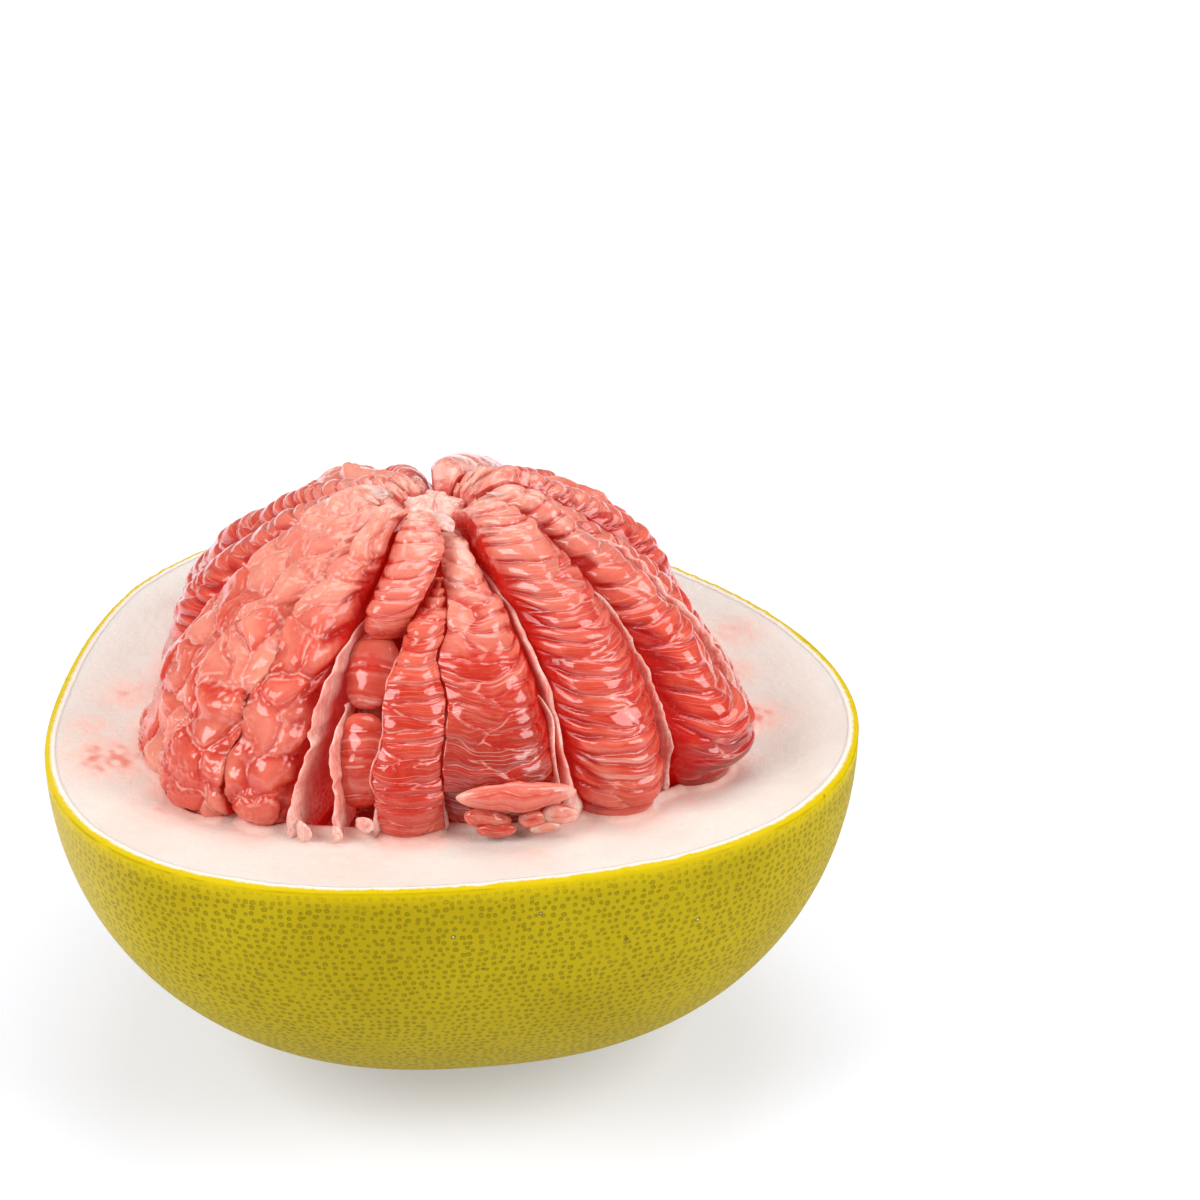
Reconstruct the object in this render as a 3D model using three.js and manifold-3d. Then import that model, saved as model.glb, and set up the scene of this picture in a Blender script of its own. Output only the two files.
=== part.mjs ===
// An opened pomelo. The upper half of its peel is taken off, and the whole ball of flesh stands in the
// lower half: 17 segments round a white core, with their outer skins peeled away so that the juice sacs
// show. Millimetres, +Z up. The origin is on the flat spot that the fruit rests on, under its core.

import * as THREE from "three";
import Module from "manifold-3d";
import { mergeVertices } from "three/addons/utils/BufferGeometryUtils.js";

// ---- the fruit's driving dimensions ----
const CUT_HEIGHT = 71.5; // floor to the cut face of the peel
const FRUIT_RADIUS = 80.9; // mean radius of the fruit at the cut
const FRUIT_DEPTH = 73; // cut face to where the round bottom would end without its flat spot
const BOTTOM_FULLNESS = 2.05; // 2 is an ellipse, and more is a fuller bowl
const LEAN = 4.5; // the bottom lies this far to +X of the core
const LOBES = [
  // the fruit isn't round: waves round its outline, each with its height and where it peaks
  { waves: 2, height: 1.67, peak: -47.4 },
  { waves: 3, height: 4.33, peak: -13.2 },
  { waves: 4, height: 1.21, peak: 45 },
];

const RIND_THICKNESS = 2.2; // the yellow skin with its oil glands
const PEEL_THICKNESS = 18.5; // skin and white pith together, at the cut
const FACE_GAP = 0.3; // between two pieces that touch
const CAVITY_CLEARANCE = 1.2; // between the pith and the flesh in it
const CORE_RADIUS = 5.6;
const CORE_BOTTOM = -49; // heights from here on are from the cut face
const CORE_TOP = 42.5;
const MEMBRANE_THICKNESS = 0.6;
const FLESH_RADIUS = FRUIT_RADIUS - PEEL_THICKNESS;

// The flesh's outline from its bottom pole to its top: distance from the core, height from the cut face.
const FLESH_OUTLINE = [
  [10.5, -54],
  [24, -51],
  [39.5, -43],
  [52, -29.5],
  [59.5, -14.5],
  [62.4, 0],
  [61.8, 7],
  [57.5, 15.5],
  [49.5, 26],
  [37.5, 36],
  [26, 43],
  [17, 46.5],
  [10.5, 45.2],
];
const CUT_POINT = 5; // which of those points is at the cut face

// The seams between segments, turning anticlockwise: their directions in degrees at the cut face and at
// the top, how deep the groove there is, and how far below the flesh's surface the membrane ends. turns:
// the shares of the height above the cut between which a seam turns, where it isn't all of it.
const SEAMS = [
  { cut: -41, tip: -28, groove: 7.5, membrane: 5.5 },
  { cut: -21, tip: -9, groove: 5.5, membrane: 5 },
  { cut: 0, tip: 13, groove: 5, membrane: 6 },
  { cut: 22, tip: 33, groove: 5.5, membrane: 6.5 },
  { cut: 44, tip: 48, groove: 6, membrane: 5.5 },
  { cut: 66, tip: 62, groove: 6, membrane: 7 },
  { cut: 88, tip: 96, groove: 6.5, membrane: 6 },
  { cut: 111, tip: 113, groove: 5.5, membrane: 6.5 },
  { cut: 134, tip: 133, groove: 6, membrane: 5.5 },
  { cut: 157, tip: 155, groove: 5, membrane: 6 },
  { cut: 181, tip: 178, groove: 5, membrane: 5.5 },
  { cut: 214, tip: 217, groove: 3, membrane: 5 },
  { cut: 233, tip: 231, groove: 3, membrane: 5.5 },
  { cut: 245.5, tip: 249, groove: 7, membrane: 2.5 },
  { cut: 260.5, tip: 275.5, groove: 3.5, membrane: 3.5, turns: [0.38, 0.9] },
  { cut: 273.5, tip: 275.5, groove: 3.5, membrane: 5 },
  { cut: 299, tip: 298, groove: 7.5, membrane: 4 },
];

// One segment between each seam and the next, each with only what sets it apart from a whole one.
// out: how far it stands out of the outline, in mm, at the five heights of OUT_HEIGHTS; top: how far up its
// rows reach; pebbled: its sacs show end on, as round bumps, where the others lie across as ribs; dents:
// [from, to, depth, round] over that share of its height above the cut, where sacs have come away, and the
// share over which the flesh above the dent rounds over into it.
const WHOLE_SEGMENT = { out: [0, 0, 0, 0, 0], top: 1, pebbled: false, dents: [] };
const SEGMENTS = [
  { out: [0.5, 5.2, 1, 0, 0], dents: [[-0.1, 0.12, 1.8, 0.05]] },
  { out: [-2.5, -4.6, -4.5, -3.5, -2.5], top: 0.98 },
  { out: [-2.5, -5.5, -5.6, 0, -0.5] },
  { out: [0, 0, 0.5, 1, -3], pebbled: true },
  { out: [0, 0, 0, 1.5, -3.5], top: 0.97 },
  { out: [0, 0, 0, 1, -3] },
  { out: [0, 0, -1, -4, -9.5], top: 0.94 },
  { out: [0, 0, 0, -2.8, -6], pebbled: true },
  { out: [0, 1.8, 0.3, -2.6, -5], top: 0.97 },
  { out: [-0.5, -1.5, -0.3, -2, -4] },
  { out: [0, -3.2, -2, -2, -1], top: 0.98, pebbled: true },
  { out: [0.3, 0, 0, -0.3, 0], pebbled: true },
  { out: [-2.5, -1, 0.5, 1, 1], pebbled: true },
  { out: [0.3, 0.5, 0.5, 0.5, 0.5], dents: [[0, 0.5, 13, 0.13]] },
  { out: [-1, -0.8, -0.3, 0, 0], top: 0.7, dents: [[0.62, 1, 4, 0.05]] },
  { top: 0.88, dents: [[-0.08, 0.1, 3.5, 0.05], [0.66, 1, 4.5, 0.05]] },
  { out: [-1.2, 0, 1, 1.5, 1] },
].map((own) => ({ ...WHOLE_SEGMENT, ...own }));

// ---- how finely the pieces are divided ----
const PEEL_SIDES = 48;
const BOWL_ROWS = 9;
const CAVITY_ROWS = 10;
const CORE_SIDES = 14;
const HIDDEN_ROWS = 5; // rows of a segment inside the bowl
const RIBS = 13; // ribs of sacs on each segment's visible part
const RIB_HEIGHT = 0.7; // crest and valley, each way from the mean
const ACROSS = [-1, -0.62, -0.22, 0.22, 0.62, 1]; // places across a segment, from seam to seam
const ROUNDNESS = 2.4; // power of a segment's fall towards its seams
const SEGMENT_EDGE = 0.9; // least width of a segment's inner edge
const LEAST_DEPTH = 1.5; // and least distance from that edge to its outer face
const BURIED_GROOVE = 0.3; // share of a groove's depth that is left at the bottom of the bowl
const TIP_GROOVE = 0.35; // and at the top, where the segments are narrow
const DENT_EDGE = 0.05; // share of the height over which the flesh below a dent falls into it

const rad = THREE.MathUtils.degToRad;

// How far the fruit's outline stands out of its mean radius in one direction.
function lobes(angle) {
  return LOBES.reduce((sum, l) => sum + l.height * Math.cos(l.waves * (angle - rad(l.peak))), 0);
}

// A point by direction, distance from the core and height from the cut face, with the fruit's lean.
function place(angle, distance, height) {
  const down = Math.max(0, -height / FRUIT_DEPTH);
  return new THREE.Vector3(
    distance * Math.cos(angle) + LEAN * down * down,
    distance * Math.sin(angle),
    CUT_HEIGHT + height,
  );
}

// A closed surface over rings of points, each ring with the same count, and a fan over each end.
function skin(rings) {
  const sides = rings[0].length;
  const middle = (ring) => ring.reduce((sum, p) => sum.add(p), new THREE.Vector3()).divideScalar(sides);
  const points = [...rings.flat(), middle(rings[0]), middle(rings.at(-1))];
  const [first, last] = [points.length - 2, points.length - 1];
  const faces = [];
  for (let side = 0; side < sides; side++) {
    const next = (side + 1) % sides;
    faces.push(first, next, side);
    for (let row = 0; row + 1 < rings.length; row++) {
      const [a, b] = [row * sides + side, row * sides + next];
      faces.push(a, b, a + sides, b, b + sides, a + sides);
    }
    const row = (rings.length - 1) * sides;
    faces.push(last, row + side, row + next);
  }
  const geometry = new THREE.BufferGeometry().setFromPoints(points);
  geometry.setIndex(faces);
  return geometry;
}

// ---- the peel: a thin yellow rind round a thick white pith ----

// The radius of the bowl at a share of its depth, for a surface that lies inside the rind's outside.
function bowlRing(share, inset) {
  const fall = (1 - share ** BOTTOM_FULLNESS) ** (1 / BOTTOM_FULLNESS);
  const depth = share * (FRUIT_DEPTH - inset);
  return Array.from({ length: PEEL_SIDES }, (_, side) => {
    const angle = (side / PEEL_SIDES) * 2 * Math.PI;
    return place(angle, (FRUIT_RADIUS + lobes(angle) - inset) * fall, -depth);
  });
}

// Rings from the bottom of such a surface up to the cut. The flat spot cuts the lowest of them off.
function bowlRings(inset, lowestShare) {
  return Array.from({ length: BOWL_ROWS + 1 }, (_, row) => {
    const turn = Math.asin(lowestShare) * (1 - row / BOWL_ROWS);
    return bowlRing(Math.sin(turn), inset);
  });
}

const FLAT_SHARE = CUT_HEIGHT / FRUIT_DEPTH; // where the flat spot meets the round bottom
const INNER_SHARE = 0.985; // where the small flat inside the rind begins
const PITH_SHARE = 0.98; // and the one under the pith

function rindGeometry() {
  const outside = bowlRings(0, FLAT_SHARE);
  const inside = bowlRings(RIND_THICKNESS, INNER_SHARE);
  return skin([...outside, ...inside.reverse()]);
}

// The pith's cavity follows the flesh, clear of its facets, from the cut down to its bottom pole.
function pithGeometry() {
  const outside = bowlRings(RIND_THICKNESS + FACE_GAP, PITH_SHARE);
  const cavity = Array.from({ length: CAVITY_ROWS + 1 }, (_, row) => {
    const share = row / CAVITY_ROWS;
    const at = fleshOutline(-LOW_LENGTH * share);
    return Array.from({ length: PEEL_SIDES }, (_, side) => {
      const angle = (side / PEEL_SIDES) * 2 * Math.PI;
      const distance = at.distance * fleshScale(angle) + CAVITY_CLEARANCE;
      return place(angle, distance, at.height - share * CAVITY_CLEARANCE);
    });
  });
  return skin([...outside, ...cavity]);
}

// ---- the flesh ----

const outline = new THREE.SplineCurve(FLESH_OUTLINE.map(([x, y]) => new THREE.Vector2(x, y)));
const OUTLINE_STEPS = 240;
outline.arcLengthDivisions = OUTLINE_STEPS;
const lengths = outline.getLengths();
const LOW_LENGTH = lengths[(CUT_POINT / (FLESH_OUTLINE.length - 1)) * OUTLINE_STEPS];
const HIGH_LENGTH = outline.getLength() - LOW_LENGTH;

// The outline's point that lies so many millimetres along it above the cut face, or below for a minus.
function fleshOutline(along) {
  const share = THREE.MathUtils.clamp((LOW_LENGTH + along) / (LOW_LENGTH + HIGH_LENGTH), 0, 1);
  const p = outline.getPointAt(share);
  return { distance: p.x, height: p.y, share };
}

function fleshScale(angle) {
  return (FLESH_RADIUS + lobes(angle)) / FLESH_RADIUS;
}

// A seam's direction at a length along the outline. It turns only above the cut face.
function seamAngle(seam, along) {
  const [low, high] = seam.turns ?? [0, 1];
  const turned = THREE.MathUtils.smoothstep(along / HIGH_LENGTH, low, high);
  return rad(THREE.MathUtils.lerp(seam.cut, seam.tip, turned));
}

// Each row of the flesh is a straight line from a point on the fruit's axis out to the outline. This gives
// the point that lies inwards of the outline by some distance, and the row's height at any distance.
const AXIS_BOTTOM = -46;
const AXIS_TOP = 37;

function rowPoint(angle, along, inwards) {
  const at = fleshOutline(along);
  const outer = new THREE.Vector2(at.distance * fleshScale(angle), at.height);
  const axis = new THREE.Vector2(0, THREE.MathUtils.lerp(AXIS_BOTTOM, AXIS_TOP, at.share));
  const heightAt = (distance) => THREE.MathUtils.lerp(axis.y, outer.y, distance / outer.x);
  const distance = outer.x * (1 - inwards / outer.distanceTo(axis));
  return { distance, heightAt };
}

// Shares of the flesh's height above the cut: the first is where a segment's own shape begins, and the
// others are those of its five values.
const OUT_HEIGHTS = [-0.12, 0, 0.1, 0.28, 0.5, 0.85];

// How far a segment stands out of the outline: smooth steps from each of its values to the next.
function standOut(values, up) {
  const steps = [0, ...values];
  return values.reduce(
    (sum, value, i) =>
      sum + (value - steps[i]) * THREE.MathUtils.smoothstep(up, OUT_HEIGHTS[i], OUT_HEIGHTS[i + 1]),
    0,
  );
}

function dentDepth(dents, up) {
  return dents.reduce((deepest, [from, to, depth, round]) => {
    const above = THREE.MathUtils.clamp((up - to) / round, 0, 1);
    const below = THREE.MathUtils.smoothstep(up, from - DENT_EDGE, from);
    return Math.max(deepest, depth * below * (1 - Math.sqrt(1 - (1 - above) ** 2)));
  }, 0);
}

// The lengths along the outline at which the flesh has its rows: few in the bowl, two to a rib above it.
const ROWS = [
  ...Array.from({ length: HIDDEN_ROWS }, (_, i) => -LOW_LENGTH * (1 - i / HIDDEN_ROWS)),
  ...Array.from({ length: 2 * RIBS + 1 }, (_, i) => (HIGH_LENGTH * i) / (2 * RIBS)),
];

function segmentGeometry(index) {
  const segment = SEGMENTS[index];
  const right = SEAMS[index];
  const left = SEAMS[(index + 1) % SEAMS.length];
  const wrap = index + 1 === SEAMS.length ? 2 * Math.PI : 0;
  const clear = MEMBRANE_THICKNESS / 2 + FACE_GAP;
  const rows = ROWS.filter((along) => along <= HIGH_LENGTH * segment.top + 0.01);
  const rings = rows.map((along, row) => {
    const up = along / HIGH_LENGTH;
    const from = seamAngle(right, along);
    const to = seamAngle(left, along) + wrap;
    const edge = Math.max(CORE_RADIUS + 1, (SEGMENT_EDGE + 2 * clear) / (to - from));
    const shallow =
      THREE.MathUtils.lerp(BURIED_GROOVE, 1, THREE.MathUtils.smoothstep(up, -1, 0)) *
      THREE.MathUtils.lerp(1, TIP_GROOVE, THREE.MathUtils.smoothstep(up, 0.5, 1));
    const grown = standOut(segment.out, up) - dentDepth(segment.dents, up);
    const ring = ACROSS.map((s, column) => {
      const groove = (s < 0 ? right.groove : left.groove) * shallow;
      const crest = row % 2 ? 1 : -1;
      const bump = segment.pebbled && column % 2 ? -crest : crest;
      const relief = up > 0 && up < segment.top ? RIB_HEIGHT * bump * (1 - s ** 4) : 0;
      const inwards = groove * Math.abs(s) ** ROUNDNESS - grown - relief;
      const middle = THREE.MathUtils.lerp(from, to, (s + 1) / 2);
      const at = rowPoint(middle, along, inwards);
      const distance = Math.max(at.distance, edge + LEAST_DEPTH);
      const angle = middle - (s * clear) / distance;
      return place(angle, distance, at.heightAt(distance));
    });
    const corner = (seam, side) =>
      place(seam + (side * clear) / edge, edge, rowPoint(seam, along, 0).heightAt(edge));
    return [...ring, corner(to, -1), corner(from, 1)];
  });
  return skin(rings);
}

// ---- the core and its membranes, one piece of white tissue ----

const solids = await Module();
solids.setup();

function solidFrom(geometry) {
  const bare = geometry.clone();
  bare.deleteAttribute("normal");
  bare.deleteAttribute("uv");
  const merged = mergeVertices(bare, 1e-4);
  return new solids.Manifold(
    new solids.Mesh({
      numProp: 3,
      vertProperties: merged.attributes.position.array,
      triVerts: new Uint32Array(merged.index.array),
    }),
  );
}

function geometryFrom(solid) {
  const { vertProperties, triVerts } = solid.getMesh();
  const geometry = new THREE.BufferGeometry();
  geometry.setAttribute("position", new THREE.BufferAttribute(vertProperties, 3));
  geometry.setIndex(new THREE.BufferAttribute(triVerts, 1));
  return geometry;
}

// A membrane stands along a seam, from inside the core to a little below the flesh's surface. It has a row
// for every second one of the flesh. Where the seam turns sharply it has them all, in three spans.
function membraneGeometry(seam) {
  const [step, spans] = seam.turns ? [1, 3] : [2, 1];
  const rows = ROWS.filter((_, row) => row > 0 && row % step === step - 1 && row < ROWS.length - 1);
  const rings = rows.map((along) => {
    const angle = seamAngle(seam, along);
    const below = along < 0 ? 1 : seam.membrane;
    const at = rowPoint(angle, along, below);
    const root = CORE_RADIUS / 2;
    const corner = (distance, side) =>
      place(angle + (side * MEMBRANE_THICKNESS) / 2 / distance, distance, at.heightAt(distance));
    const distances = Array.from({ length: spans + 1 }, (_, i) =>
      THREE.MathUtils.lerp(root, at.distance, i / spans),
    );
    return [...distances.map((d) => corner(d, -1)), ...distances.reverse().map((d) => corner(d, 1))];
  });
  return skin(rings);
}

function coreGeometry() {
  const profile = [
    [CORE_RADIUS * 0.45, CORE_BOTTOM],
    [CORE_RADIUS * 0.9, CORE_BOTTOM + 3],
    [CORE_RADIUS, CORE_BOTTOM + 12],
    [CORE_RADIUS * 0.8, 0],
    [CORE_RADIUS, CORE_TOP - 8],
    [CORE_RADIUS * 0.95, CORE_TOP - 2],
    [CORE_RADIUS * 0.5, CORE_TOP],
  ];
  const rings = profile.map(([distance, height]) =>
    Array.from({ length: CORE_SIDES }, (_, side) =>
      place((side / CORE_SIDES) * 2 * Math.PI, distance, height),
    ),
  );
  const column = solidFrom(skin(rings));
  const joined = SEAMS.reduce((body, seam) => body.add(solidFrom(membraneGeometry(seam))), column);
  return geometryFrom(joined);
}

// ---- the fruit ----

const YELLOW_RIND = new THREE.MeshStandardMaterial({ color: 0xc9b81e, roughness: 0.42, metalness: 0 });
const WHITE_PITH = new THREE.MeshStandardMaterial({ color: 0xf3e6df, roughness: 0.9, metalness: 0 });
const PALE_MEMBRANE = new THREE.MeshStandardMaterial({ color: 0xf2c4b8, roughness: 0.6, metalness: 0 });
const RED_FLESH = new THREE.MeshStandardMaterial({ color: 0xe0604f, roughness: 0.2, metalness: 0 });

const pomelo = new THREE.Group();

function add(name, geometry, material) {
  geometry.computeVertexNormals();
  const mesh = new THREE.Mesh(geometry, material);
  mesh.name = name;
  pomelo.add(mesh);
}

add("rind", rindGeometry(), YELLOW_RIND);
add("pith", pithGeometry(), WHITE_PITH);
add("core_and_membranes", coreGeometry(), PALE_MEMBRANE);
SEGMENTS.forEach((_, index) => {
  add(`segment_${String(index + 1).padStart(2, "0")}`, segmentGeometry(index), RED_FLESH);
});

export default pomelo;
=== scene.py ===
# %% [markdown]
# # An opened pomelo
#
# A pomelo whose upper peel has been taken off. The ball of flesh stands bare in the lower half of its
# peel, with the outer skins of its segments pulled away, so that the juice sacs show. This notebook
# dresses a plain measured model of that fruit, which holds every size and place. Each step makes one
# tissue of the fruit, from the outside in, and gives it its finish.

# %% Opening the measured model
from functools import partialmethod
from math import radians, tau

import bpy
import numpy as np
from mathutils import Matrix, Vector


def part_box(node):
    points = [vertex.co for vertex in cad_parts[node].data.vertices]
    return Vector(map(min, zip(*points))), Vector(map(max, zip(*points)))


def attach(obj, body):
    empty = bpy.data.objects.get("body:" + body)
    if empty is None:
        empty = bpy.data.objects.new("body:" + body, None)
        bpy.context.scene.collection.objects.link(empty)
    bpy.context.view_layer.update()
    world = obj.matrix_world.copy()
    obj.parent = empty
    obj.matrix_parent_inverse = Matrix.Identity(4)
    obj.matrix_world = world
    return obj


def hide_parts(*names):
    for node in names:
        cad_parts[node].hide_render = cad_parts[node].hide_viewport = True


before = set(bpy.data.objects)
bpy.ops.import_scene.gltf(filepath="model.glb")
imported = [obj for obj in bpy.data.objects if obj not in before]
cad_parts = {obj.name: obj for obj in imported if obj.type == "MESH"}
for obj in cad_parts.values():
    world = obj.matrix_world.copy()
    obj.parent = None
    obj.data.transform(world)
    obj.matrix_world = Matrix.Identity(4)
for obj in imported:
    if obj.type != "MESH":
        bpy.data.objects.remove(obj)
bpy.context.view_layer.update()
MM = 0.001

# %% [markdown]
# ## Camera, floor and light
#
# A fruit on a white sweep is lit by a bright surround and large soft boxes. The surround keeps the
# shadows light. The boxes are what wet flesh and waxy peel show as highlights, so their size and
# place matter more than their power. A long lens, a little above the fruit, keeps its proportions.

# %% The camera
def new_object(name, data):
    """An object that shows the data, in the scene's collection."""
    made = bpy.data.objects.new(name, data)
    bpy.context.collection.objects.link(made)
    return made


lens = bpy.data.cameras.new("camera")
lens.lens = 120
lens.sensor_width = 36
camera = new_object("camera", lens)
camera.location = (0.0324, -0.7095, 0.4435)
camera.rotation_euler = (radians(63.66), 0, 0)
bpy.context.scene.camera = camera
print("camera at", camera.location)

# %% The surround and the soft boxes
surround = bpy.data.worlds.new("surround")
surround.use_nodes = True
sky = surround.node_tree.nodes["Background"]
sky.inputs["Color"].default_value = (1.0, 1.0, 1.0, 1.0)
sky.inputs["Strength"].default_value = 0.26
bpy.context.scene.world = surround
bpy.context.scene.view_settings.view_transform = "Standard"
SOFT_BOXES = {  # place and size in metres, power in watts
    "box_left": ((-0.75, -0.45, 0.75), (0.7, 0.6), 8.5),
    "box_right": ((0.8, -0.35, 0.7), (0.7, 0.6), 7.4),
    "box_above": ((0.1, 0.35, 1.1), (0.8, 0.6), 5.2),
}
MIDDLE_OF_FLESH = (0.0, 0.0, 0.08)

for name, (where, size, power) in SOFT_BOXES.items():
    lamp = bpy.data.lights.new(name, "AREA")
    lamp.shape = "RECTANGLE"
    lamp.size, lamp.size_y = size
    lamp.energy = power
    box = new_object(name, lamp)
    box.location = where
    aim = Vector(np.array(MIDDLE_OF_FLESH) - np.array(where))
    box.rotation_euler = aim.to_track_quat("-Z", "Y").to_euler()
print(len(SOFT_BOXES), "soft boxes round the fruit")

# %% [markdown]
# ## Short ways to write node trees
#
# Materials and Geometry Nodes are both trees of small nodes. Writing each one out takes many lines,
# so one class adds a node to a tree, and another holds a wire out of a node. Arithmetic on a wire adds
# Math nodes, and its methods add textures, ramps and blends. Both serve both kinds of tree.


# %% Trees and wires
class Tree:
    """A node tree to which nodes are added by their type, their inputs and their settings."""

    def __init__(self, tree):
        self.tree = tree

    def add(self, kind, inputs=(), output=0, **settings):
        node = self.tree.nodes.new(kind)
        for name, value in settings.items():
            setattr(node, name, value)
        for name, value in inputs.items() if isinstance(inputs, dict) else enumerate(inputs):
            if isinstance(value, Wire):
                self.tree.links.new(value.socket, node.inputs[name])
            else:
                node.inputs[name].default_value = value
        return Wire(self, node.outputs[output]) if node.outputs else node


def colour(code):
    """A linear colour from the usual six-figure code of a screen colour. A wire stays as it is."""
    if isinstance(code, Wire):
        return code
    parts = [int(code[i : i + 2], 16) / 255 for i in (0, 2, 4)]
    return (*[p / 12.92 if p <= 0.04045 else ((p + 0.055) / 1.055) ** 2.4 for p in parts], 1.0)


class Wire:
    """The output of a node. Arithmetic and methods add nodes that take it as their first input."""

    def __init__(self, tree, socket):
        self.tree = tree
        self.socket = socket

    def other(self, name):
        """Another output of the same node."""
        return Wire(self.tree, self.socket.node.outputs[name])

    def math(self, operation, *others, clamp=False):
        return self.tree.add("ShaderNodeMath", (self, *others), operation=operation, use_clamp=clamp)

    __add__ = __radd__ = partialmethod(math, "ADD")
    __sub__ = partialmethod(math, "SUBTRACT")
    __mul__ = __rmul__ = partialmethod(math, "MULTIPLY")
    __truediv__ = partialmethod(math, "DIVIDE")
    __pow__ = partialmethod(math, "POWER")
    clamped = partialmethod(math, "ADD", 0.0, clamp=True)

    def __rsub__(self, other):
        return self.tree.add("ShaderNodeMath", (other, self), operation="SUBTRACT")

    def ramp(self, low, high):
        """A smooth step from 0 at low to 1 at high. low may be the larger of the two."""
        ends = (low, high, 0.0, 1.0) if low < high else (high, low, 1.0, 0.0)
        return self.tree.add("ShaderNodeMapRange", (self, *ends), interpolation_type="SMOOTHSTEP")

    def part(self, axis="X"):
        """One number of a vector or a colour."""
        return self.tree.add("ShaderNodeSeparateXYZ", [self], axis)

    def vector(self, operation, *others):
        return self.tree.add("ShaderNodeVectorMath", (self, *others), operation=operation)

    def scaled(self, *factors):
        return self.vector("MULTIPLY", factors)

    def length(self):
        return self.vector("LENGTH").other("Value")

    def noise(self, scale, detail=2.0, roughness=0.5):
        inputs = {"Vector": self, "Scale": scale, "Detail": detail, "Roughness": roughness}
        return self.tree.add("ShaderNodeTexNoise", inputs)

    def cells(self, feature, scale=1.0, uneven=1.0, dimensions="2D"):
        inputs = {"Vector": self, "Scale": scale, "Randomness": uneven}
        return self.tree.add("ShaderNodeTexVoronoi", inputs, feature=feature, voronoi_dimensions=dimensions)

    def blend(self, first, second):
        """A colour between two others, this wire being the share of the second."""
        inputs = {0: self, 6: colour(first), 7: colour(second)}
        return self.tree.add("ShaderNodeMix", inputs, 2, data_type="RGBA")

    def layered(self, *layers):
        """This colour with others laid over it, each as strongly as its own factor says."""
        base = self
        for factor, cover in layers:
            base = factor.blend(base, cover)
        return base

    def relief(self, depth_mm):
        """Fine relief in the shading alone, for what is too small to model."""
        inputs = {"Height": self, "Distance": depth_mm * MM, "Strength": 1.0}
        return self.tree.add("ShaderNodeBump", inputs)


def combined(tree, *parts):
    return tree.add("ShaderNodeCombineXYZ", parts)


print("helpers for node trees are ready")


# %% Starting a material
def material(name, **constants):
    """A new material, its tree and its Principled shader, with the constant sockets set.

    A faint glow is only seen: it isn't sampled as a lamp.
    """
    made = bpy.data.materials.new(name)
    made.use_nodes = True
    made.cycles.emission_sampling = "NONE"
    shader = made.node_tree.nodes["Principled BSDF"]
    for socket, value in constants.items():
        shader.inputs[socket.replace("_", " ")].default_value = value
    return made, Tree(made.node_tree), shader


def attribute(tree, name, output="Fac"):
    return tree.add("ShaderNodeAttribute", output=output, attribute_name=name)


def feed(tree, shader, **wires):
    for socket, wire in wires.items():
        tree.tree.links.new(wire.socket, shader.inputs[socket.replace("_", " ")])


def object_mm(tree):
    """A place on the fruit in millimetres."""
    return tree.add("ShaderNodeTexCoord", output="Object").scaled(1 / MM, 1 / MM, 1 / MM)


print("helpers for materials are ready")

# %% [markdown]
# ## The white floor
#
# The floor is one large sheet of matt white paper. It glows a little, and more so with distance, so
# that it ends in pure white and is grey only where the fruit shades it. The glow is weaker near the
# fruit, which paints a deeper shade round it. A sweep that curves up would do as well, but its bend
# would show from other sides.

# %% The floor
FLOOR_REACH = 12.0
GLOW_NEAR, GLOW_FAR = 150, 900  # distance in mm at which the glow starts to rise, and is full
paper, tree, shader = material("white_floor", Roughness=0.7, Emission_Strength=0.85)
at = object_mm(tree)
feed(
    tree, shader, Base_Color=at.noise(0.004).blend("d3d5dc", "d6d8df"),
    # painted shade: a weaker glow near the fruit darkens the floor round it
    Emission_Color=at.length().ramp(GLOW_NEAR, GLOW_FAR).blend("adaeb5", "ffffff"),
)
corners = [(FLOOR_REACH * x, FLOOR_REACH * y, 0) for x, y in ((-1, -1), (1, -1), (1, 1), (-1, 1))]
floor_mesh = bpy.data.meshes.new("floor")
floor_mesh.from_pydata(corners, [], [(0, 1, 2, 3)])
floor_mesh.materials.append(paper)
new_object("floor", floor_mesh)
print("floor is", 2 * FLOOR_REACH, "m wide")

# %% [markdown]
# ## The form of the fruit
#
# The fruit isn't round: seen from above it has three soft corners. One function gives how far its
# outline stands out in each direction, and every tissue follows it. The flesh has an outline of its
# own from its bottom to its top, a curve through a few points. A place on it is told by its direction
# and by its length along that curve, measured from the level of the cut.

# %% Driving sizes, in millimetres
CUT_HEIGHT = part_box("rind")[1].z / MM
FRUIT_RADIUS = 80.9
FRUIT_DEPTH = 73.0
BOTTOM_FULLNESS = 2.05  # 2 would be an ellipse
LEAN = 4.5
LOBES = ((2, 1.67, -47.4), (3, 4.33, -13.2), (4, 1.21, 45.0))  # how many, how high, where in degrees
RIND_THICKNESS = 2.2
FLESH_RADIUS = 62.4
CORE_RADIUS = 5.6
FLESH_OUTLINE = np.array(
    [  # distance from the core, and height from the cut
        (10.5, -54), (24, -51), (39.5, -43), (52, -29.5), (59.5, -14.5), (62.4, 0), (61.8, 7),
        (57.5, 15.5), (49.5, 26), (37.5, 36), (26, 43), (17, 46.5), (10.5, 45.2),
    ]
)
CUT_POINT = 5  # the outline's point at the level of the cut
AXIS_BOTTOM, AXIS_TOP = -46.0, 37.0


def lobes(angle):
    return sum(height * np.cos(count * (angle - radians(peak))) for count, height, peak in LOBES)


def place(angle, distance, height):
    """A point in metres, by direction, distance from the core and height from the cut, in mm."""
    angle, distance, height = np.broadcast_arrays(angle, distance, height)
    down = np.maximum(0, -height / FRUIT_DEPTH)
    x = distance * np.cos(angle) + LEAN * down**2
    return np.stack([x, distance * np.sin(angle), CUT_HEIGHT + height], -1) * MM


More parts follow.
